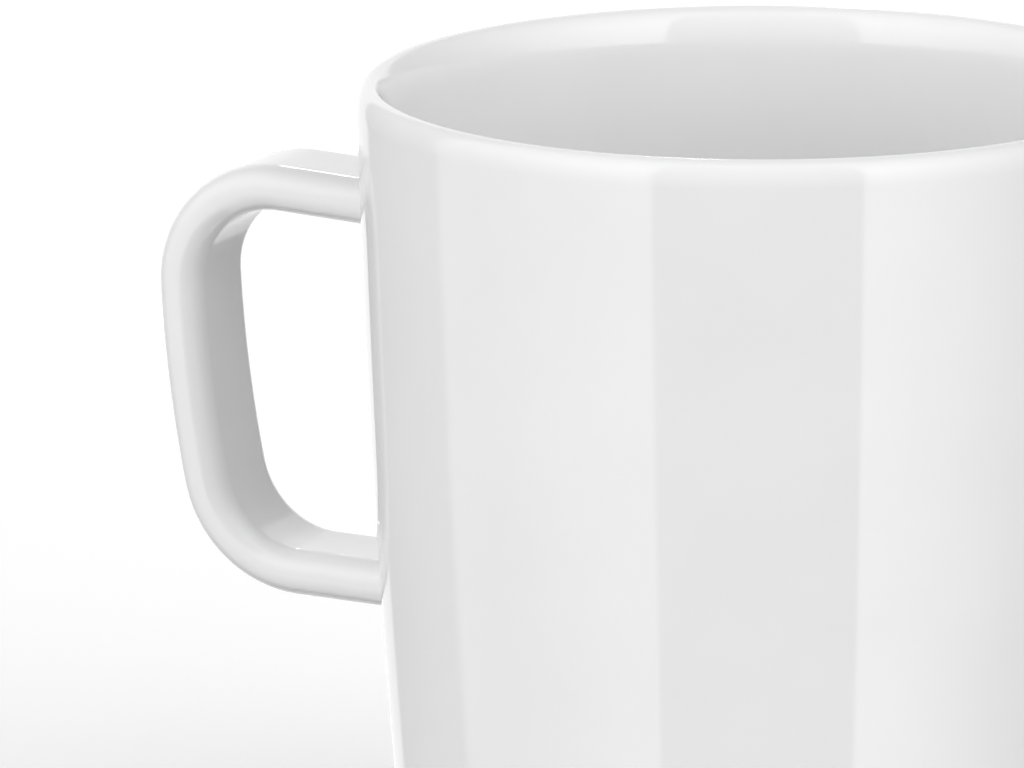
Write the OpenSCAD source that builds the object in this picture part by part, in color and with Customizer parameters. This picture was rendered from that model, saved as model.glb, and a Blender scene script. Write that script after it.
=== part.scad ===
// Ceramic mug: a gently tapered cup with one strap handle, glazed all over except for its foot ring.
// Units are millimetres. The origin is at the centre of the foot ring's resting face, +Z is up,
// and the handle stands out towards -X.

/* [Cup] */
// Height from the foot ring's resting face to the top of the lip
height = 98; // [88:1:110]
// Outside diameter at the rim
rim_d = 90; // [84:1:98]
// Width of the lip's outer curve, from its crest to the outside of the rim
lip_outer_w = 1.45; // [1.2:0.05:2]
// Height of the lip's outer curve
lip_outer_h = 2.9; // [1.4:0.1:4]
// Width of the lip's longer inner curve, from its crest to the inside wall
lip_inner_w = 1.95; // [1.2:0.05:2.4]
// Height of the lip's inner curve
lip_inner_h = 5.5; // [3:0.1:8]
// Thickness of the wall where it meets the floor's curve
low_wall_t = 4; // [3.5:0.1:6]
// How far the wall leans in from the vertical at the rim, in degrees
rim_lean = 1.3; // [0.6:0.1:2]
// Radius of the long curve that the wall's height follows
belly_r = 1300; // [1000:50:2500]

/* [Base] */
// Radius of the curve from the wall to the foot
corner_r = 10; // [8:0.5:11]
// Height of that curve's centre above the resting face
corner_z = 12.5; // [11.5:0.5:13.5]
// Outside diameter of the foot ring
foot_d = 66; // [62:1:68]
// Width of the foot ring
foot_w = 3.2; // [2.4:0.1:4.5]
// Depth of the hollow inside the foot ring
foot_h = 2.4; // [1.5:0.1:3]
// Height of the inside floor above the resting face
floor_z = 7.6; // [6.6:0.1:9]
// Radius of the curve from the inside wall to the floor
inside_corner_r = 9; // [6:0.5:11]

/* [Handle] */
// Width of the strap, across the handle
strap_w = 13.8; // [11:0.1:16]
// Thickness of the strap
strap_t = 5.3; // [5.2:0.1:7]
// Radius of the strap's rounded edges
edge_r = 2.5; // [1.5:0.1:2.5]
// Depth of the upper arm's centre line below the rim, at its root
arm_drop = 17.2; // [14:0.2:22]
// Length of the upper arm, from inside the wall to the upper bend
upper_arm_l = 17.2; // [15:0.2:22]
// How much the upper arm rises as it leaves the cup, in degrees
arm_rise = 3.5; // [0:0.5:6]
// Centre-line radius of the upper bend
upper_bend_r = 11.6; // [9:0.2:14]
// Angle of the upper bend
upper_bend = 96.5; // [92:0.5:99]
// Centre-line radius of the long, slightly bowed grip
grip_r = 148; // [120:2:200]
// Angle that the grip's long curve covers
grip_bend = 8.7; // [7:0.1:10]
// Centre-line radius of the lower bend
lower_bend_r = 12.3; // [9:0.2:14]
// Angle of the lower bend
lower_bend = 76.4; // [73:0.1:79]

/* [Coatings] */
// Thickness of the glaze
glaze_t = 0.3; // [0.2:0.05:0.5]
// Thickness of the slip that joins each arm to the cup
slip_t = 0.8; // [0.5:0.1:1.2]

/* [Hidden] */
$fn = 96;

// The lip's crest stands at lip_x, and its two curves end at these heights
lip_x = rim_d / 2 - lip_outer_w;
lip_outer_z = height - lip_outer_h;
lip_inner_z = height - lip_inner_h;

// The glazed curve under the wall starts at this angle, where the bare foot ring begins
glaze_start = -72;
foot_bevel = 0.6;
foot_draft = 0.4;
arc_steps = 8;
wall_steps = 8;

// The arms start this far from the cup's axis, inside the wall, and are cut back to it
arm_start = rim_d / 2 - 5;
upper_arm_z = height - arm_drop;
clay_w = strap_w - 2 * glaze_t;
clay_t = strap_t - 2 * glaze_t;
edge_steps = 10;

// Narrow bands, proud by a hair, tie the handle's stretches into one solid
tie_l = 0.4;
tie_lip = 0.01;

// ---- The cup's outline, as points [distance from the axis, height] ----

function outside_r(z) =
    rim_d / 2 - tan(rim_lean) * (lip_outer_z - z) - pow(lip_outer_z - z, 2) / (2 * belly_r);

inside_corner_z = floor_z + inside_corner_r;
high_wall_t = outside_r(lip_inner_z) - lip_x + lip_inner_w;

function wall_t(z) =
    high_wall_t
    + (low_wall_t - high_wall_t) * (lip_inner_z - z) / (lip_inner_z - inside_corner_z);

function inside_r(z) = outside_r(z) - wall_t(z);

function arc(centre, radius, from, to) = [
    for (i = [0 : arc_steps])
        let (a = from + (to - from) * i / arc_steps)
            centre + radius * [cos(a), sin(a)]
];

// A quarter of an ellipse, from one angle to another, with half axes w and h
function lip_curve(z, w, h, from, to) = [
    for (i = [0 : arc_steps])
        let (a = from + (to - from) * i / arc_steps)
            [lip_x + w * cos(a), z + h * sin(a)]
];

function reversed(points) = [for (i = [len(points) - 1 : -1 : 0]) points[i]];

// The wall's outer face moved out by grow, from the lower curve up to the lip
function wall_points(grow) = [
    for (i = [0 : wall_steps])
        let (z = corner_z + (lip_outer_z - corner_z) * i / wall_steps)
            [outside_r(z) + grow, z]
];

// The wall's inner face moved into the clay by depth, from the lip down to the floor's curve
function inside_points(depth) = [
    for (i = [1 : wall_steps - 1])
        let (z = lip_inner_z + (inside_corner_z - lip_inner_z) * i / wall_steps)
            [inside_r(z) + depth, z]
];

// From the foot ring to the crest of the lip, under a glaze of this depth
function outer_outline(depth) = concat(
    arc([outside_r(corner_z) - corner_r, corner_z], corner_r - depth, glaze_start, 0),
    [for (i = [1 : wall_steps - 1]) wall_points(-depth)[i]],
    lip_curve(lip_outer_z, lip_outer_w - depth, lip_outer_h - depth, 0, 90)
);

// From the crest of the lip down to the middle of the floor, under a glaze of this depth
function inner_outline(depth) = concat(
    lip_curve(lip_inner_z, lip_inner_w - depth, lip_inner_h - depth, 90, 180),
    inside_points(depth),
    arc([inside_r(inside_corner_z) - inside_corner_r, inside_corner_z],
        inside_corner_r + depth, 0, -90),
    [[0, floor_z - depth]]
);

foot_outer = foot_d / 2;
foot_inner = foot_outer - foot_w;
hollow_r = foot_inner - foot_draft;

// The bare foot ring and the clay ceiling of the hollow inside it
foot_outline = [
    [0, foot_h + glaze_t],
    [hollow_r, foot_h + glaze_t],
    [foot_inner, foot_bevel],
    [foot_inner + foot_bevel, 0],
    [foot_outer - foot_bevel, 0],
    [foot_outer, foot_bevel]
];

// Everything inside the wall's outer face moved out by grow
module inside_of_wall(grow) {
    rotate_extrude()
        polygon(concat([[0, corner_z]], wall_points(grow), [[0, lip_outer_z]]));
}

// ---- The handle's section and path ----

// The direction in which a rounded edge starts, going round the section from +X
function edge_turn(edge) =
    edge[1] > 0 ? (edge[0] > 0 ? 0 : 90) : (edge[0] < 0 ? 180 : 270);

// The flat-faced, round-edged section of a strap, thickness along X and width along Y.
// The edges' radius follows the thickness, so that a coat of glaze stays even around them.
function strap_points(w, t) =
    let (r = edge_r - (strap_t - t) / 2, x = t / 2 - r, y = w / 2 - r)
        [
            for (edge = [[x, y], [-x, y], [-x, -y], [x, -y]], i = [0 : edge_steps])
                let (a = edge_turn(edge) + 90 * i / edge_steps)
                    edge + r * [cos(a), sin(a)]
        ];

// The path is followed outwards along the upper arm, down the grip and back along the lower arm.
// A heading of 0 points away from the cup, and -90 points down.
function ahead(heading) = [-cos(heading), 0, sin(heading)];
function outward(heading) = [sin(heading), 0, cos(heading)];

upper_end = arm_rise - upper_bend;
grip_end = upper_end - grip_bend;
lower_end = grip_end - lower_bend;

path_start = [-arm_start, 0, upper_arm_z];
upper_centre = path_start + upper_arm_l * ahead(arm_rise) - upper_bend_r * outward(arm_rise);
grip_centre = upper_centre + (upper_bend_r - grip_r) * outward(upper_end);
lower_centre = grip_centre + (grip_r - lower_bend_r) * outward(grip_end);
lower_start = lower_centre + lower_bend_r * outward(lower_end);
lower_arm_l = (-lower_start[0] - arm_start) / -cos(lower_end);

// A straight stretch of a strap of this width and thickness
module straight(from, heading, length, w, t) {
    translate(from)
        rotate([0, heading - 90, 0])
            linear_extrude(length)
                polygon(strap_points(w, t));
}

// A bend of the strap about a centre, turning down from this heading
module bend(centre, heading, radius, angle, w, t) {
    translate(centre)
        rotate([0, heading - 90, 0])
            rotate([90, 0, 0])
                rotate_extrude(angle = angle)
                    translate([radius, 0])
                        polygon(strap_points(w, t));
}

// A band over the change from one stretch to the next
module tie(at, heading, w, t) {
    back = tie_l / 2;
    straight(at - back * ahead(heading), heading, tie_l, w + 2 * tie_lip, t + 2 * tie_lip);
}

module upper_arm(w, t) {
    straight(path_start, arm_rise, upper_arm_l, w, t);
}

module lower_arm(w, t) {
    straight(lower_start, lower_end, lower_arm_l, w, t);
}

module strap(w, t) {
    upper_arm(w, t);
    bend(upper_centre, arm_rise, upper_bend_r, upper_bend, w, t);
    bend(grip_centre, upper_end, grip_r, grip_bend, w, t);
    bend(lower_centre, grip_end, lower_bend_r, lower_bend, w, t);
    lower_arm(w, t);
    tie(upper_centre + upper_bend_r * outward(arm_rise), arm_rise, w, t);
    tie(grip_centre + grip_r * outward(upper_end), upper_end, w, t);
    tie(grip_centre + grip_r * outward(grip_end), grip_end, w, t);
    tie(lower_start, lower_end, w, t);
}

// The layer of slip between an arm's end and the cup's clay wall
module slip_layer() {
    difference() {
        intersection() {
            children();
            inside_of_wall(slip_t - glaze_t);
        }
        inside_of_wall(-glaze_t);
    }
}

// ---- Sub-parts ----

module body() {
    color("snow")
        rotate_extrude()
            polygon(concat(foot_outline, outer_outline(glaze_t), inner_outline(glaze_t)));
}

module handle() {
    color("snow")
        difference() {
            strap(clay_w, clay_t);
            inside_of_wall(slip_t - glaze_t);
        }
}

module upper_joint_slip() {
    color("linen")
        slip_layer() upper_arm(clay_w, clay_t);
}

module lower_joint_slip() {
    color("linen")
        slip_layer() lower_arm(clay_w, clay_t);
}

module outer_glaze() {
    color("white")
        difference() {
            rotate_extrude()
                polygon(concat(outer_outline(0), reversed(outer_outline(glaze_t))));
            upper_arm(strap_w, strap_t);
            lower_arm(strap_w, strap_t);
        }
}

module inner_glaze() {
    color("white")
        rotate_extrude()
            polygon(concat(inner_outline(0), reversed(inner_outline(glaze_t))));
}

module handle_glaze() {
    color("white")
        difference() {
            strap(strap_w, strap_t);
            strap(clay_w, clay_t);
            inside_of_wall(-glaze_t);
        }
}

module base_glaze() {
    color("white")
        translate([0, 0, foot_h])
            cylinder(h = glaze_t, r = hollow_r);
}

body();
handle();
upper_joint_slip();
lower_joint_slip();
outer_glaze();
inner_glaze();
handle_glaze();
base_glaze();
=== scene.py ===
"""Ceramic mug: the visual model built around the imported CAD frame, in metres, +Z up."""

import math

import bpy
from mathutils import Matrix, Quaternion, Vector, noise


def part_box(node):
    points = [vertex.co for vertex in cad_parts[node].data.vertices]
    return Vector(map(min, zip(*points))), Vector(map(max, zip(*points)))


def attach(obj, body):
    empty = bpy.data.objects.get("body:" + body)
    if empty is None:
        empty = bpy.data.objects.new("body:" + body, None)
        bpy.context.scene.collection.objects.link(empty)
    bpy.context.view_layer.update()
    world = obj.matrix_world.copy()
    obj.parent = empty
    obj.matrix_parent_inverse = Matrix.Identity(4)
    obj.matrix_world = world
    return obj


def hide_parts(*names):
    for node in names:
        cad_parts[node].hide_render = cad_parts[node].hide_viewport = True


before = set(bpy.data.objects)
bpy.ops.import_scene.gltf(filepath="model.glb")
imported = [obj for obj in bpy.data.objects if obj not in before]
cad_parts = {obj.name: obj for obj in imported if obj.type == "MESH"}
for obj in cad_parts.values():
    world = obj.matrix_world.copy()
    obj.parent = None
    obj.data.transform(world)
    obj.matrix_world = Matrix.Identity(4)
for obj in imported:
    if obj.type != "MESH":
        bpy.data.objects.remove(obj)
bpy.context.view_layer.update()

MM = 0.001
UP = Vector((0, 0, 1))
ACROSS = Vector((0, 1, 0))

# ---- Sizes read from the CAD frame ----

_, outer_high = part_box("outer_glaze")
base_low, base_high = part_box("base_glaze")
HEIGHT = outer_high.z
RIM_R = outer_high.x
FOOT_H = base_low.z
GLAZE_T = base_high.z - base_low.z
HOLLOW_R = base_high.x

# ---- Shape of the cup, the same curves as the CAD source ----

LIP_OUTER_W = 1.45 * MM
LIP_OUTER_H = 2.9 * MM
LIP_INNER_W = 1.95 * MM
LIP_INNER_H = 5.5 * MM
LIP_X = RIM_R - LIP_OUTER_W
LIP_OUTER_Z = HEIGHT - LIP_OUTER_H
LIP_INNER_Z = HEIGHT - LIP_INNER_H
RIM_LEAN = math.tan(math.radians(1.3))
BELLY_R = 1300 * MM
LOW_WALL_T = 4 * MM
CORNER_R = 10 * MM
CORNER_Z = 12.5 * MM
GLAZE_START = math.radians(-72)
FLOOR_Z = 7.6 * MM
INSIDE_CORNER_R = 9 * MM
INSIDE_CORNER_Z = FLOOR_Z + INSIDE_CORNER_R
FOOT_OUTER = 33 * MM
FOOT_INNER = 29.8 * MM
FOOT_ROUND = 0.7 * MM

# ---- Shape of the handle, the same path and section as the CAD source ----

STRAP_W = 13.8 * MM
STRAP_T = 5.3 * MM
EDGE_R = 2.5 * MM
ARM_START = RIM_R - 5 * MM
UPPER_ARM_Z = HEIGHT - 17.2 * MM
UPPER_ARM_L = 17.2 * MM
ARM_RISE = math.radians(3.5)
UPPER_BEND_R = 11.6 * MM
UPPER_BEND = math.radians(96.5)
GRIP_R = 148 * MM
GRIP_BEND = math.radians(8.7)
LOWER_BEND_R = 12.3 * MM
LOWER_BEND = math.radians(76.4)
ROOT_FILLET_R = 1.3 * MM

# ---- Fineness of the meshes ----

AROUND = 288
WALL_STEPS = 60
CLAY_WALL_STEPS = 24
HIDDEN_WALL_STEPS = 12
OUTER_CORNER_STEPS = 24
OUTER_LIP_STEPS = 16
INNER_CORNER_STEPS = 20
INNER_LIP_STEPS = 20
FLOOR_STEPS = 12
HOLLOW_STEPS = 10
CEILING_STEPS = 6
ROUND_STEPS = 8
EDGE_STEPS = 18
FACE_STEP = 1.1 * MM
ARM_STEPS = 6
UPPER_BEND_STEPS = 32
GRIP_STEPS = 24
LOWER_BEND_STEPS = 28

# ---- Camera, from the centre of the rim ----

CAMERA_AZIMUTH = math.radians(23.70)
CAMERA_ELEVATION = math.radians(11.317)
CAMERA_DISTANCE = 1.6
CAMERA_AIM = Vector((-0.02242, -0.01772, 0.06497))
CAMERA_ROLL = math.radians(-0.124)
CAMERA_LENS = 505.14
CAMERA_NEAR = 0.05
CAMERA_FAR = 50.0
SENSOR_W = 36.0


# ================= Mesh helpers =================

RIPPLE_HEIGHT = 0.012 * MM
RIPPLE_LENGTH = 22 * MM
ON_AXIS = 0.000001 * MM


def ripple(point):
    """Height of the glaze's faint unevenness at a point. The foot ring has none, so that it
    stands flat."""
    share = min(1.0, max(0.0, point.z / FOOT_H - 1))
    return share * RIPPLE_HEIGHT * noise.noise(point / RIPPLE_LENGTH)


def rippled(point, normal):
    """The point and normal of a surface after the faint unevenness is added."""
    step = 0.5 * MM
    here = ripple(point)
    slope = Vector((
        ripple(point + Vector((step, 0, 0))) - here,
        ripple(point + Vector((0, step, 0))) - here,
        ripple(point + Vector((0, 0, step))) - here,
    )) / step
    slope -= slope.dot(normal) * normal
    return point + here * normal, (normal - slope).normalized()


def make_object(name, points, faces, normals, material):
    """A mesh piece with its own smooth normals at every corner."""
    mesh = bpy.data.meshes.new(name)
    mesh.from_pydata([tuple(p) for p in points], [], faces)
    mesh.validate()
    mesh.shade_smooth()
    mesh.materials.append(material)
    mesh.normals_split_custom_set([tuple(normal) for corners in normals for normal in corners])
    made = bpy.data.objects.new(name, mesh)
    bpy.context.scene.collection.objects.link(made)
    return made


class Sheet:
    """Collects rings of points into one closed mesh with a chosen normal at every corner."""

    def __init__(self):
        self.points = []
        self.faces = []
        self.normals = []

    def ring(self, points):
        first = len(self.points)
        self.points.extend(points)
        return list(range(first, first + len(points)))

    def band(self, ring_a, normals_a, ring_b, normals_b):
        """Quads between two closed rings."""
        count = len(ring_a)
        for i in range(count):
            j = (i + 1) % count
            self.faces.append((ring_a[i], ring_a[j], ring_b[j], ring_b[i]))
            self.normals.append((normals_a[i], normals_a[j], normals_b[j], normals_b[i]))

    def fan(self, ring, normals, tip, tip_normal, flip):
        """Triangles from a closed ring to one point."""
        count = len(ring)
        for i in range(count):
            j = (i + 1) % count
            if flip:
                self.faces.append((ring[j], ring[i], tip))
                self.normals.append((normals[j], normals[i], tip_normal))
            else:
                self.faces.append((ring[i], ring[j], tip))
                self.normals.append((normals[i], normals[j], tip_normal))


def revolve(name, outline, material):
    """A closed solid of revolution from an outline of (r, z, normal r, normal z) that runs
    from the axis to the axis, or closes on itself."""
    sheet = Sheet()
    rings = []
    for r, z, nr, nz in outline:
        if r < ON_AXIS:
            rings.append(("tip", sheet.ring([Vector((0, 0, z))])[0], Vector((0, 0, nz))))
            continue
        points = []
        normals = []
        for i in range(AROUND):
            angle = 2 * math.pi * i / AROUND
            side = Vector((math.cos(angle), math.sin(angle), 0))
            point = r * side + z * UP
            normal = (nr * side + nz * UP).normalized()
            point, normal = rippled(point, normal)
            points.append(point)
            normals.append(normal)
        rings.append(("ring", sheet.ring(points), normals))
    pairs = list(zip(rings, rings[1:]))
    if rings[0][0] == rings[-1][0] == "ring":
        pairs.append((rings[-1], rings[0]))
    for (kind_a, ring_a, normals_a), (kind_b, ring_b, normals_b) in pairs:
        if kind_a == "tip" and kind_b == "tip":
            continue
        if kind_a == "ring" and kind_b == "ring":
            sheet.band(ring_a, normals_a, ring_b, normals_b)
        elif kind_a == "tip":
            sheet.fan(ring_b, normals_b, ring_a, normals_a, True)
        else:
            sheet.fan(ring_a, normals_a, ring_b, normals_b, False)
    return make_object(name, sheet.points, sheet.faces, sheet.normals, material)


# ================= The cup's outlines =================

def outside_r(z):
    drop = LIP_OUTER_Z - z
    return RIM_R - RIM_LEAN * drop - drop * drop / (2 * BELLY_R)


def outside_slope(z):
    """How fast the outside radius grows with height."""
    return RIM_LEAN + (LIP_OUTER_Z - z) / BELLY_R


HIGH_WALL_T = outside_r(LIP_INNER_Z) - LIP_X + LIP_INNER_W
WALL_GROWTH = (LOW_WALL_T - HIGH_WALL_T) / (LIP_INNER_Z - INSIDE_CORNER_Z)


def wall_t(z):
    return HIGH_WALL_T + WALL_GROWTH * (LIP_INNER_Z - z)


def inside_r(z):
    return outside_r(z) - wall_t(z)


def inside_slope(z):
    return outside_slope(z) + WALL_GROWTH


CORNER_X = outside_r(CORNER_Z) - CORNER_R * math.hypot(1, outside_slope(CORNER_Z))


def arc(r, z, radius, start, end, steps, hollow=False):
    """Outline points on an arc, with normals away from its centre, or towards it if hollow."""
    sign = -1 if hollow else 1
    points = []
    for i in range(steps + 1):
        angle = start + (end - start) * i / steps
        c, s = math.cos(angle), math.sin(angle)
        points.append((r + radius * c, z + radius * s, sign * c, sign * s))
    return points


def lip_curve(z, width, height, start, end, steps):
    """Outline points on a quarter of an ellipse about the crest's centre line."""
    points = []
    for i in range(steps + 1):
        angle = start + (end - start) * i / steps
        c, s = math.cos(angle), math.sin(angle)
        n = math.hypot(c / width, s / height)
        points.append((LIP_X + width * c, z + height * s, c / width / n, s / height / n))
    return points


def fitted_lip(width, height, slope):
    """The ellipse's width and end angle at which it runs smoothly into a wall of this slope."""
    fitted = math.sqrt(width ** 2 - (slope * height) ** 2)
    return fitted, math.atan(slope * height / fitted)


def outer_wall(depth, steps):
    """The outer face from the foot to the crest of the lip, under a glaze of this depth."""
    lean = math.atan(outside_slope(CORNER_Z))
    low = arc(CORNER_X, CORNER_Z, CORNER_R - depth, GLAZE_START, -lean, OUTER_CORNER_STEPS)
    wall = []
    for i in range(1, steps):
        z = CORNER_Z + (LIP_OUTER_Z - CORNER_Z) * i / steps
        slope = outside_slope(z)
        n = math.hypot(1, slope)
        wall.append((outside_r(z) - depth / n, z + depth * slope / n, 1 / n, -slope / n))
    height = LIP_OUTER_H - depth
    width, lean = fitted_lip(LIP_OUTER_W - depth, height, outside_slope(LIP_OUTER_Z))
    lip = lip_curve(LIP_OUTER_Z, width, height, -lean, math.pi / 2, OUTER_LIP_STEPS)
    return low + wall + lip


def inner_wall(depth, steps):
    """The inner face from the crest of the lip to the middle of the floor."""
    height = LIP_INNER_H - depth
    width, lean = fitted_lip(LIP_INNER_W - depth, height, inside_slope(LIP_INNER_Z))
    lip = lip_curve(LIP_INNER_Z, width, height, math.pi / 2, math.pi - lean, INNER_LIP_STEPS)
    wall = []
    for i in range(1, steps):
        z = LIP_INNER_Z + (INSIDE_CORNER_Z - LIP_INNER_Z) * i / steps
        slope = inside_slope(z)
        n = math.hypot(1, slope)
        wall.append((inside_r(z) + depth / n, z - depth * slope / n, -1 / n, slope / n))
    lean = math.atan(inside_slope(INSIDE_CORNER_Z))
    floor_r = inside_r(INSIDE_CORNER_Z) - INSIDE_CORNER_R / math.cos(lean)
    radius = INSIDE_CORNER_R + depth
    corner = arc(
        floor_r, INSIDE_CORNER_Z, radius, -lean, -math.pi / 2, INNER_CORNER_STEPS, hollow=True
    )
    height = FLOOR_Z - depth
    floor = [(floor_r * (1 - i / FLOOR_STEPS), height, 0, 1) for i in range(1, FLOOR_STEPS)]
    floor.append((0, height, 0, 1))
    return lip + wall + corner + floor


def turned_over(outline):
    """The same outline run the other way, as the hidden back of a coat."""
    return [(r, z, -nr, -nz) for r, z, nr, nz in reversed(outline)]


# ================= The handle's path and section =================

def ahead(heading):
    return Vector((-math.cos(heading), 0, math.sin(heading)))


def outward(heading):
    return Vector((math.sin(heading), 0, math.cos(heading)))


UPPER_END = ARM_RISE - UPPER_BEND
GRIP_END = UPPER_END - GRIP_BEND
LOWER_END = GRIP_END - LOWER_BEND
PATH_START = Vector((-ARM_START, 0, UPPER_ARM_Z))
UPPER_ELBOW = PATH_START + UPPER_ARM_L * ahead(ARM_RISE)
UPPER_CENTRE = UPPER_ELBOW - UPPER_BEND_R * outward(ARM_RISE)
GRIP_CENTRE = UPPER_CENTRE + (UPPER_BEND_R - GRIP_R) * outward(UPPER_END)
LOWER_CENTRE = GRIP_CENTRE + (GRIP_R - LOWER_BEND_R) * outward(GRIP_END)
LOWER_ELBOW = LOWER_CENTRE + LOWER_BEND_R * outward(LOWER_END)


def section(width, thickness):
    """Points (outwards, sideways) and normals of the flat-faced, round-edged strap section."""
    radius = EDGE_R - (STRAP_T - thickness) / 2
    x = thickness / 2 - radius
    y = width / 2 - radius
    corners = ((x, y), (-x, y), (-x, -y), (x, -y))
    points = []
    for turn, (a, b) in enumerate(corners):
        for i in range(EDGE_STEPS + 1):
            angle = math.pi / 2 * (turn + i / EDGE_STEPS)
            c, s = math.cos(angle), math.sin(angle)
            points.append((a + radius * c, b + radius * s, c, s))
        next_a, next_b = corners[(turn + 1) % 4]
        face = math.hypot(next_a - a, next_b - b)
        steps = max(1, round(face / FACE_STEP))
        for i in range(1, steps):
            along = i / steps
            face_a = a + (next_a - a) * along
            face_b = b + (next_b - b) * along
            points.append((face_a + radius * c, face_b + radius * s, c, s))
    return points


def wall_gap(point):
    """Distance of a point from the cup's outer face."""
    slope = outside_slope(point.z)
    return (math.hypot(point.x, point.y) - outside_r(point.z)) / math.hypot(1, slope)


def wall_normal(point):
    slope = outside_slope(point.z)
    side = Vector((point.x, point.y, 0)).normalized()
    return (side - slope * UP).normalized()


FURTHEST_REACH = 12 * MM
HALVINGS = 40


def reach(start, direction, gap):
    """How far along a direction a line gets this gap away from the cup's wall."""
    low = 0.0
    high = FURTHEST_REACH
    for _ in range(HALVINGS):
        middle = (low + high) / 2
        if wall_gap(start + middle * direction) < gap:
            low = middle
        else:
            high = middle
    return (low + high) / 2


def root_rings(elbow, heading, away, profile, fillet):
    """Rings of (points, normals) from the cup's wall through the fillet to the straight arm.
    Without a fillet there is one ring, sunk to the back of the wall's glaze."""
    up = outward(heading)
    steps = ROUND_STEPS if fillet else 0
    rings = [([], []) for _ in range(steps + 1)]
    start = elbow - ((elbow.x + ARM_START) / away.x) * away
    for a, b, na, nb in profile:
        normal = na * up + nb * ACROSS
        base = start + a * up + b * ACROSS
        if not fillet:
            foot = base + reach(base, away, -GLAZE_T) * away
            rings[0][0].append(foot)
            rings[0][1].append(-normal)
            continue
        ball = base + fillet * normal
        ball += reach(ball, away, fillet) * away
        to_wall = -wall_normal(ball)
        to_arm = -normal
        for i in range(steps + 1):
            pointer = to_wall.slerp(to_arm, i / steps)
            rings[i][0].append(ball + fillet * pointer)
            rings[i][1].append(-pointer)
    return rings


def placed(profile, centre, heading, radius, sign):
    """The section's points and normals, set square to the path at this radius from a centre."""
    up = outward(heading)
    points = [centre + (radius + a) * up + b * ACROSS for a, b, _, _ in profile]
    normals = [sign * (na * up + nb * ACROSS) for _, _, na, nb in profile]
    return points, normals


def between(first, last, normals):
    """Rings along a straight arm, between two rings of points."""
    rings = []
    for i in range(1, ARM_STEPS):
        points = [p.lerp(q, i / ARM_STEPS) for p, q in zip(first, last)]
        rings.append((points, normals))
    return rings


def bent(profile, centre, heading, turn, radius, steps, sign):
    """Rings round a bend, from its start to its end."""
    return [
        placed(profile, centre, heading - turn * i / steps, radius, sign) for i in range(steps + 1)
    ]


def swept_rings(profile, sign, fillet):
    """Every ring of the strap from its upper root to its lower root."""
    rings = root_rings(UPPER_ELBOW, ARM_RISE, ahead(ARM_RISE), profile, fillet)
    elbow_points, elbow_normals = placed(profile, UPPER_ELBOW, ARM_RISE, 0, sign)
    rings += between(rings[-1][0], elbow_points, elbow_normals)
    rings += bent(
        profile, UPPER_CENTRE, ARM_RISE, UPPER_BEND, UPPER_BEND_R, UPPER_BEND_STEPS, sign
    )
    rings += bent(profile, GRIP_CENTRE, UPPER_END, GRIP_BEND, GRIP_R, GRIP_STEPS, sign)[1:]
    rings += bent(
        profile, LOWER_CENTRE, GRIP_END, LOWER_BEND, LOWER_BEND_R, LOWER_BEND_STEPS, sign
    )[1:]
    low_root = root_rings(LOWER_ELBOW, LOWER_END, -ahead(LOWER_END), profile, fillet)
    low_points, low_normals = rings[-1]
    rings += between(low_points, low_root[-1][0], low_normals)
    rings += reversed(low_root)
    return rings


def handle_coat(name, material):
    """The handle's coat of glaze, a closed skin whose ends spread onto the wall in fillets."""
    sheet = Sheet()
    clay_section = section(STRAP_W - 2 * GLAZE_T, STRAP_T - 2 * GLAZE_T)
    outer = swept_rings(section(STRAP_W, STRAP_T), 1, ROOT_FILLET_R)
    inner = swept_rings(clay_section, -1, None)
    sunk_first = [p - GLAZE_T * n for p, n in zip(*outer[0])]
    sunk_last = [p - GLAZE_T * n for p, n in zip(*outer[-1])]
    skins = []
    for points, normals in outer:
        moved = [rippled(p, n) for p, n in zip(points, normals)]
        skins.append(([p for p, _ in moved], [n for _, n in moved]))
    loops = [(sheet.ring(points), normals) for points, normals in skins]
    for (ring_a, normals_a), (ring_b, normals_b) in zip(loops, loops[1:]):
        sheet.band(ring_a, normals_a, ring_b, normals_b)
    back = [(sheet.ring(points), normals) for points, normals in inner]
    for (ring_a, normals_a), (ring_b, normals_b) in zip(back, back[1:]):
        sheet.band(ring_b, normals_b, ring_a, normals_a)
    for loop, sunk, hidden, flip in (
        (loops[0], sunk_first, back[0], False),
        (loops[-1], sunk_last, back[-1], True),
    ):
        edge = sheet.ring(sunk)
        facing = [-n for n in loop[1]]
        if flip:
            sheet.band(loop[0], facing, edge, facing)
            sheet.band(edge, facing, hidden[0], facing)
        else:
            sheet.band(edge, facing, loop[0], facing)
            sheet.band(hidden[0], facing, edge, facing)
    return make_object(name, sheet.points, sheet.faces, sheet.normals, material)


# ================= Materials =================

def new_material(name):
    material = bpy.data.materials.new(name)
    material.use_nodes = True
    return material, material.node_tree.nodes, material.node_tree.links


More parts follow.
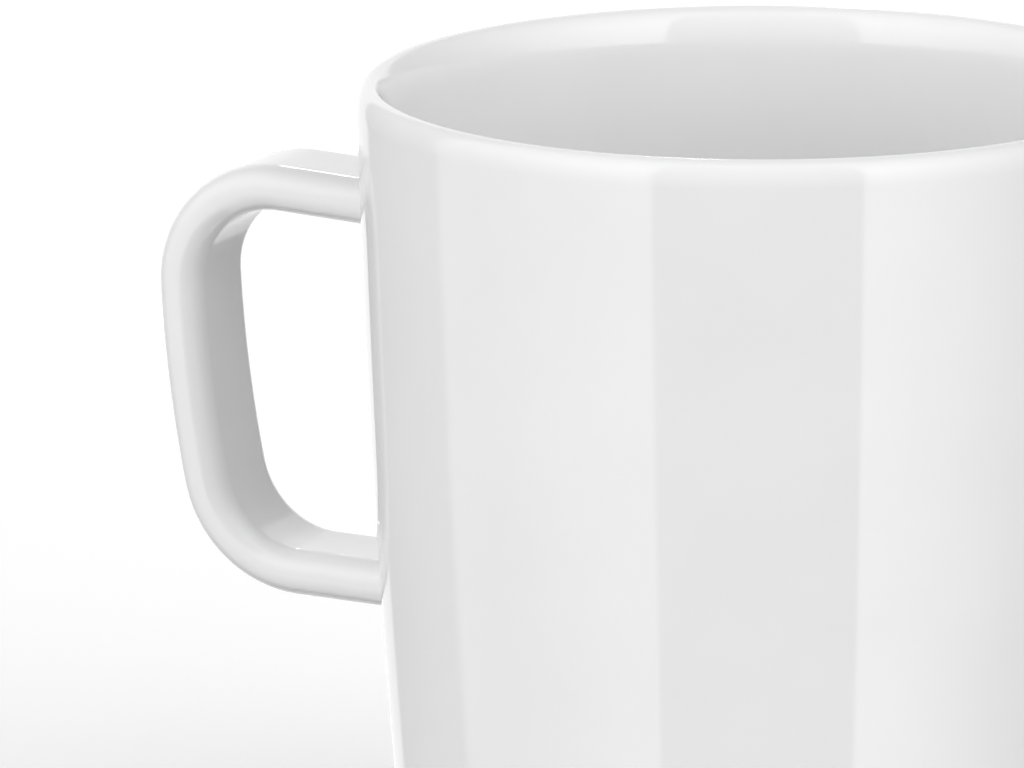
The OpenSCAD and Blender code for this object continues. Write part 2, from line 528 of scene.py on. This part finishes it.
def glaze_material(name):
    """Smooth white glaze, faintly cloudy, with a slightly uneven gloss and a fine orange peel."""
    material, nodes, links = new_material(name)
    shader = nodes["Principled BSDF"]
    where = nodes.new("ShaderNodeTexCoord")
    clouds = nodes.new("ShaderNodeTexNoise")
    clouds.inputs["Scale"].default_value = 60
    clouds.inputs["Detail"].default_value = 3
    tint = nodes.new("ShaderNodeValToRGB")
    tint.color_ramp.elements[0].position = 0.3
    tint.color_ramp.elements[0].color = (0.79, 0.79, 0.79, 1)
    tint.color_ramp.elements[1].position = 0.7
    tint.color_ramp.elements[1].color = (0.81, 0.81, 0.81, 1)
    links.new(where.outputs["Object"], clouds.inputs["Vector"])
    links.new(clouds.outputs["Fac"], tint.inputs["Fac"])
    links.new(tint.outputs["Color"], shader.inputs["Base Color"])
    gloss = nodes.new("ShaderNodeMapRange")
    gloss.inputs["To Min"].default_value = 0.05
    gloss.inputs["To Max"].default_value = 0.08
    links.new(clouds.outputs["Fac"], gloss.inputs["Value"])
    links.new(gloss.outputs["Result"], shader.inputs["Roughness"])
    peel = nodes.new("ShaderNodeTexNoise")
    peel.inputs["Scale"].default_value = 900
    peel.inputs["Detail"].default_value = 2
    bump = nodes.new("ShaderNodeBump")
    bump.inputs["Strength"].default_value = 1.0
    bump.inputs["Distance"].default_value = 0.0008 * MM
    links.new(where.outputs["Object"], peel.inputs["Vector"])
    links.new(peel.outputs["Fac"], bump.inputs["Height"])
    links.new(bump.outputs["Normal"], shader.inputs["Normal"])
    shader.inputs["IOR"].default_value = 1.52
    return material


def clay_material(name, dark, light):
    """Matte fired clay with a fine grain."""
    material, nodes, links = new_material(name)
    shader = nodes["Principled BSDF"]
    where = nodes.new("ShaderNodeTexCoord")
    grain = nodes.new("ShaderNodeTexNoise")
    grain.inputs["Scale"].default_value = 2500
    grain.inputs["Detail"].default_value = 5
    tint = nodes.new("ShaderNodeValToRGB")
    tint.color_ramp.elements[0].position = 0.35
    tint.color_ramp.elements[0].color = dark
    tint.color_ramp.elements[1].position = 0.65
    tint.color_ramp.elements[1].color = light
    links.new(where.outputs["Object"], grain.inputs["Vector"])
    links.new(grain.outputs["Fac"], tint.inputs["Fac"])
    links.new(tint.outputs["Color"], shader.inputs["Base Color"])
    rough = nodes.new("ShaderNodeMapRange")
    rough.inputs["To Min"].default_value = 0.78
    rough.inputs["To Max"].default_value = 0.95
    links.new(grain.outputs["Fac"], rough.inputs["Value"])
    links.new(rough.outputs["Result"], shader.inputs["Roughness"])
    bump = nodes.new("ShaderNodeBump")
    bump.inputs["Strength"].default_value = 0.6
    bump.inputs["Distance"].default_value = 0.03 * MM
    links.new(grain.outputs["Fac"], bump.inputs["Height"])
    links.new(bump.outputs["Normal"], shader.inputs["Normal"])
    return material


white_glaze = glaze_material("white_glaze")
bisque = clay_material("bisque_clay", (0.62, 0.60, 0.56, 1), (0.74, 0.72, 0.68, 1))
slip = clay_material("joining_slip", (0.66, 0.65, 0.62, 1), (0.74, 0.73, 0.70, 1))


# ================= Pieces =================

NOSE_STEPS = 6

# The pool of glaze round the edge of the base: its radius, and how far it reaches onto the
# foot ring.
POOL_R = 0.8 * MM
POOL_LAP = 0.1 * MM
POOL_EDGE = 0.15 * MM


def settle(piece, slot_name, *nodes):
    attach(piece, "root")
    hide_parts(*nodes)


def glaze_nose():
    """The rounded lower end of the outer coat of glaze, from its back to its face."""
    middle = CORNER_R - GLAZE_T / 2
    c, s = math.cos(GLAZE_START), math.sin(GLAZE_START)
    points = []
    for i in range(1, NOSE_STEPS):
        angle = math.pi * (1 - i / NOSE_STEPS)
        out = math.cos(angle)
        past = math.sin(angle)
        r = CORNER_X + (middle + out * GLAZE_T / 2) * c + past * GLAZE_T / 2 * s
        z = CORNER_Z + (middle + out * GLAZE_T / 2) * s - past * GLAZE_T / 2 * c
        points.append((r, z, out * c + past * s, out * s - past * c))
    return points


def outer_coat():
    face = outer_wall(0, WALL_STEPS)
    back = turned_over(outer_wall(GLAZE_T, HIDDEN_WALL_STEPS))
    return face + back + glaze_nose()


def inner_coat():
    return inner_wall(0, WALL_STEPS) + turned_over(inner_wall(GLAZE_T, HIDDEN_WALL_STEPS))


def foot_outline():
    """The bare foot ring, from the hollow's ceiling to the start of the outer glaze."""
    ceiling = FOOT_H + GLAZE_T
    points = [(0, ceiling, 0, -1)]
    for i in range(1, CEILING_STEPS):
        points.append((HOLLOW_R * i / CEILING_STEPS, ceiling, 0, -1))
    points.append((HOLLOW_R, ceiling, -0.7, -0.7))
    inner_r = FOOT_INNER + FOOT_ROUND
    outer_r = FOOT_OUTER - FOOT_ROUND
    points += arc(inner_r, FOOT_ROUND, FOOT_ROUND, math.pi, 1.5 * math.pi, ROUND_STEPS)
    points += arc(outer_r, FOOT_ROUND, FOOT_ROUND, 1.5 * math.pi, 2 * math.pi, ROUND_STEPS)
    return points


def clay_cup():
    """The clay cup. Each wall brings the ring at the crest of the lip, so one is left out."""
    outside = outer_wall(GLAZE_T, CLAY_WALL_STEPS)
    inside = inner_wall(GLAZE_T, CLAY_WALL_STEPS)
    return foot_outline() + outside[:-1] + inside


def base_coat():
    """The glazed ceiling of the hollow, drawn down a little where it meets the foot ring."""
    flat_r = HOLLOW_R + POOL_LAP - POOL_R
    low = FOOT_H - POOL_R
    points = [(0, FOOT_H, 0, -1)]
    for i in range(1, HOLLOW_STEPS):
        points.append((flat_r * i / HOLLOW_STEPS, FOOT_H, 0, -1))
    points += arc(flat_r, low, POOL_R, math.pi / 2, 0, ROUND_STEPS, hollow=True)
    points.append((HOLLOW_R + POOL_LAP + POOL_EDGE, low, 0.5, 0.2))
    points.append((HOLLOW_R, FOOT_H + GLAZE_T, 0.5, 0.5))
    points.append((0, FOOT_H + GLAZE_T, 0, 1))
    return points


cup_clay = revolve("cup_clay", clay_cup(), bisque)
settle(cup_clay, "bisque_clay", "body")
outer_glaze = revolve("outer_glaze_coat", outer_coat(), white_glaze)
settle(outer_glaze, "white_glaze", "outer_glaze")
inner_glaze = revolve("inner_glaze_coat", inner_coat(), white_glaze)
settle(inner_glaze, "white_glaze", "inner_glaze")
base_glaze = revolve("base_glaze_coat", base_coat(), white_glaze)
settle(base_glaze, "white_glaze", "base_glaze")
handle_glaze = handle_coat("handle_glaze_coat", white_glaze)
settle(handle_glaze, "white_glaze", "handle_glaze")

# The CAD's own handle and slip layers stay, hidden under the glaze.
for node, material in (
    ("handle", bisque),
    ("upper_joint_slip", slip),
    ("lower_joint_slip", slip),
):
    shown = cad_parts[node]
    shown.data.materials.clear()
    shown.data.materials.append(material)


# ================= Floor, light and camera =================

FLOOR_HALF = 6.0
FLOOR_SHADE = 0.96
# Light that the seen floor adds of its own, so that it stays nearly white.
FLOOR_GLOW = 0.14
# The greyer floor that lights the mug from below, and how far under the seen one it lies.
BOUNCE_SHADE = 0.43
BOUNCE_DROP = 0.1 * MM


def floor_material(name, shade, glow):
    material, nodes, _ = new_material(name)
    shader = nodes["Principled BSDF"]
    shader.inputs["Base Color"].default_value = (shade, shade, shade, 1)
    shader.inputs["Emission Color"].default_value = (1, 1, 1, 1)
    shader.inputs["Emission Strength"].default_value = glow
    shader.inputs["Roughness"].default_value = 1.0
    shader.inputs["Specular IOR Level"].default_value = 0.0
    return material


def floor_plane(name, height, shade, glow):
    mesh = bpy.data.meshes.new(name)
    signs = ((-1, -1), (1, -1), (1, 1), (-1, 1))
    corners = [(x * FLOOR_HALF, y * FLOOR_HALF, height) for x, y in signs]
    mesh.from_pydata(corners, [], [(0, 1, 2, 3)])
    mesh.materials.append(floor_material(name, shade, glow))
    plane = bpy.data.objects.new(name, mesh)
    bpy.context.scene.collection.objects.link(plane)
    plane.visible_glossy = False
    return plane


def make_floor():
    """A white floor for the eye, over a greyer one that throws light back up at the mug."""
    seen = floor_plane("studio_floor", 0, FLOOR_SHADE, FLOOR_GLOW)
    seen.visible_diffuse = False
    seen.visible_shadow = False
    under = floor_plane("studio_bounce", -BOUNCE_DROP, BOUNCE_SHADE, 0)
    under.visible_camera = False


# The light tent. Azimuth 0 is behind the camera and grows to the camera's right. All its angles are
# in degrees. This is its brightness all the way round, as (azimuth, brightness).
TENT_AROUND = (
    (-180, 1.36), (-153, 1.36), (-151, 0.72), (-135, 0.68), (-107, 0.78), (-103, 1.92), (-85, 2.0),
    (-65, 2.4), (-43, 2.88), (0, 2.88), (30, 3.5), (42, 3.35), (60, 2.58), (80, 1.5), (105, 0.62),
    (135, 0.5), (151, 0.72), (153, 1.36), (180, 1.36),
)
# Share of it at each height, as (elevation, share).
TENT_UPWARDS = (
    (-90, 0.82), (0, 0.86), (24, 1.0), (42, 0.68), (57, 0.37), (66, 0.16), (73, 0.0), (90, 0.0),
)
# The opening that the camera looks in by: its middle and half size as azimuth and elevation,
# the radius of its round corners, and the softness of its edge.
OPENING_MIDDLE = (-0.75, -20)
OPENING_HALF = (30.25, 67)
OPENING_CORNER = 9.0
OPENING_BLUR = 0.8
OPENING_BRIGHTNESS = 0.97
# A small lamp high behind the mug, with its sizes given in the same way.
LAMP_MIDDLE = (-177.95, 32)
LAMP_HALF = (1.05, 2.2)
LAMP_CORNER = 0.9
LAMP_BLUR = 0.2
LAMP_BRIGHTNESS = 22.0
BACKDROP_BRIGHTNESS = 1.0
WHITE = (1, 1, 1, 1)


def vector_math(tree, operation, first, second):
    node = tree.nodes.new("ShaderNodeVectorMath")
    node.operation = operation
    tree.links.new(first, node.inputs[0])
    node.inputs[1].default_value = second
    return node.outputs["Vector"]


def plain_math(tree, operation, first, second=None):
    node = tree.nodes.new("ShaderNodeMath")
    node.operation = operation
    tree.links.new(first, node.inputs[0])
    if isinstance(second, float):
        node.inputs[1].default_value = second
    elif second is not None:
        tree.links.new(second, node.inputs[1])
    return node.outputs["Value"]


def map_range(tree, value, start, end, smooth=False):
    """The value rescaled to 0 at the start and 1 at the end."""
    node = tree.nodes.new("ShaderNodeMapRange")
    node.interpolation_type = "SMOOTHSTEP" if smooth else "LINEAR"
    node.inputs["From Min"].default_value = start
    node.inputs["From Max"].default_value = end
    tree.links.new(value, node.inputs["Value"])
    return node.outputs["Result"]


def curve_through(tree, value, stops):
    """Straight lines through (value, height) stops, as a share of the highest, and that height."""
    start, end = stops[0][0], stops[-1][0]
    top = max(height for _, height in stops)
    node = tree.nodes.new("ShaderNodeValToRGB")
    while len(node.color_ramp.elements) < len(stops):
        node.color_ramp.elements.new(0.5)
    for element, (place, height) in zip(node.color_ramp.elements, stops):
        element.position = (place - start) / (end - start)
        shade = height / top
        element.color = (shade, shade, shade, 1)
    tree.links.new(map_range(tree, value, start, end), node.inputs["Fac"])
    return node.outputs["Color"], top


def sky_angles(tree):
    """Azimuth from the camera's side, and elevation, of each part of the sky, in degrees."""
    where = tree.nodes.new("ShaderNodeTexCoord")
    turned = tree.nodes.new("ShaderNodeVectorRotate")
    turned.rotation_type = "Z_AXIS"
    turned.inputs["Angle"].default_value = -CAMERA_AZIMUTH
    tree.links.new(where.outputs["Generated"], turned.inputs["Vector"])
    parts = tree.nodes.new("ShaderNodeSeparateXYZ")
    tree.links.new(turned.outputs["Vector"], parts.inputs["Vector"])
    front = plain_math(tree, "MULTIPLY", parts.outputs["Y"], -1.0)
    azimuth = plain_math(tree, "ARCTAN2", parts.outputs["X"], front)
    elevation = plain_math(tree, "ARCSINE", parts.outputs["Z"])
    in_degrees = math.degrees(1)
    return (
        plain_math(tree, "MULTIPLY", azimuth, in_degrees),
        plain_math(tree, "MULTIPLY", elevation, in_degrees),
    )


def outside_patch(tree, azimuth, elevation, middle, half, corner, blur):
    """0 inside a patch of the sky, 1 outside it, with round corners."""
    place = tree.nodes.new("ShaderNodeCombineXYZ")
    tree.links.new(azimuth, place.inputs["X"])
    tree.links.new(elevation, place.inputs["Y"])
    offset = vector_math(tree, "SUBTRACT", place.outputs["Vector"], (*middle, 0))
    folded = tree.nodes.new("ShaderNodeVectorMath")
    folded.operation = "ABSOLUTE"
    tree.links.new(offset, folded.inputs[0])
    core = (half[0] - corner, half[1] - corner, 0)
    past = vector_math(tree, "SUBTRACT", folded.outputs["Vector"], core)
    beyond = vector_math(tree, "MAXIMUM", past, (0, 0, 0))
    length = tree.nodes.new("ShaderNodeVectorMath")
    length.operation = "LENGTH"
    tree.links.new(beyond, length.inputs[0])
    return map_range(tree, length.outputs["Value"], corner - blur, corner + blur, True)


def brightness_in_patch(tree, outside, inside_brightness, rest):
    """The given brightness inside a patch of the sky, and the rest of the sky outside it."""
    chosen = tree.nodes.new("ShaderNodeMix")
    chosen.data_type = "FLOAT"
    tree.links.new(outside, chosen.inputs["Factor"])
    chosen.inputs["A"].default_value = inside_brightness
    tree.links.new(rest, chosen.inputs["B"])
    return chosen.outputs["Result"]


def make_world():
    """A white light tent around the mug, and plain white where the camera sees past the floor."""
    world = bpy.data.worlds.new("studio")
    world.use_nodes = True
    tree = world.node_tree
    azimuth, elevation = sky_angles(tree)
    around, top = curve_through(tree, azimuth, TENT_AROUND)
    upwards, _ = curve_through(tree, elevation, TENT_UPWARDS)
    share = plain_math(tree, "MULTIPLY", around, upwards)
    cloth = plain_math(tree, "MULTIPLY", share, top)
    outside_opening = outside_patch(
        tree, azimuth, elevation, OPENING_MIDDLE, OPENING_HALF, OPENING_CORNER, OPENING_BLUR
    )
    opened = brightness_in_patch(tree, outside_opening, OPENING_BRIGHTNESS, cloth)
    outside_lamp = outside_patch(
        tree, azimuth, elevation, LAMP_MIDDLE, LAMP_HALF, LAMP_CORNER, LAMP_BLUR
    )
    lit = brightness_in_patch(tree, outside_lamp, LAMP_BRIGHTNESS, opened)
    tent = tree.nodes["Background"]
    tent.inputs["Color"].default_value = WHITE
    tree.links.new(lit, tent.inputs["Strength"])
    backdrop = tree.nodes.new("ShaderNodeBackground")
    backdrop.inputs["Color"].default_value = WHITE
    backdrop.inputs["Strength"].default_value = BACKDROP_BRIGHTNESS
    rays = tree.nodes.new("ShaderNodeLightPath")
    choice = tree.nodes.new("ShaderNodeMixShader")
    tree.links.new(rays.outputs["Is Camera Ray"], choice.inputs["Fac"])
    tree.links.new(tent.outputs["Background"], choice.inputs[1])
    tree.links.new(backdrop.outputs["Background"], choice.inputs[2])
    tree.links.new(choice.outputs["Shader"], tree.nodes["World Output"].inputs["Surface"])
    bpy.context.scene.world = world


def make_camera():
    data = bpy.data.cameras.new("camera")
    camera = bpy.data.objects.new("camera", data)
    bpy.context.scene.collection.objects.link(camera)
    back = Vector((
        math.sin(CAMERA_AZIMUTH) * math.cos(CAMERA_ELEVATION),
        -math.cos(CAMERA_AZIMUTH) * math.cos(CAMERA_ELEVATION),
        math.sin(CAMERA_ELEVATION),
    ))
    camera.location = Vector((0, 0, HEIGHT)) + CAMERA_DISTANCE * back
    facing = (CAMERA_AIM - camera.location).to_track_quat("-Z", "Y")
    camera.rotation_mode = "QUATERNION"
    camera.rotation_quaternion = facing @ Quaternion((0, 0, 1), CAMERA_ROLL)
    data.lens = CAMERA_LENS
    data.sensor_width = SENSOR_W
    data.clip_start = CAMERA_NEAR
    data.clip_end = CAMERA_FAR
    bpy.context.scene.camera = camera


make_floor()
make_world()
make_camera()
bpy.context.scene.view_settings.view_transform = "Standard"
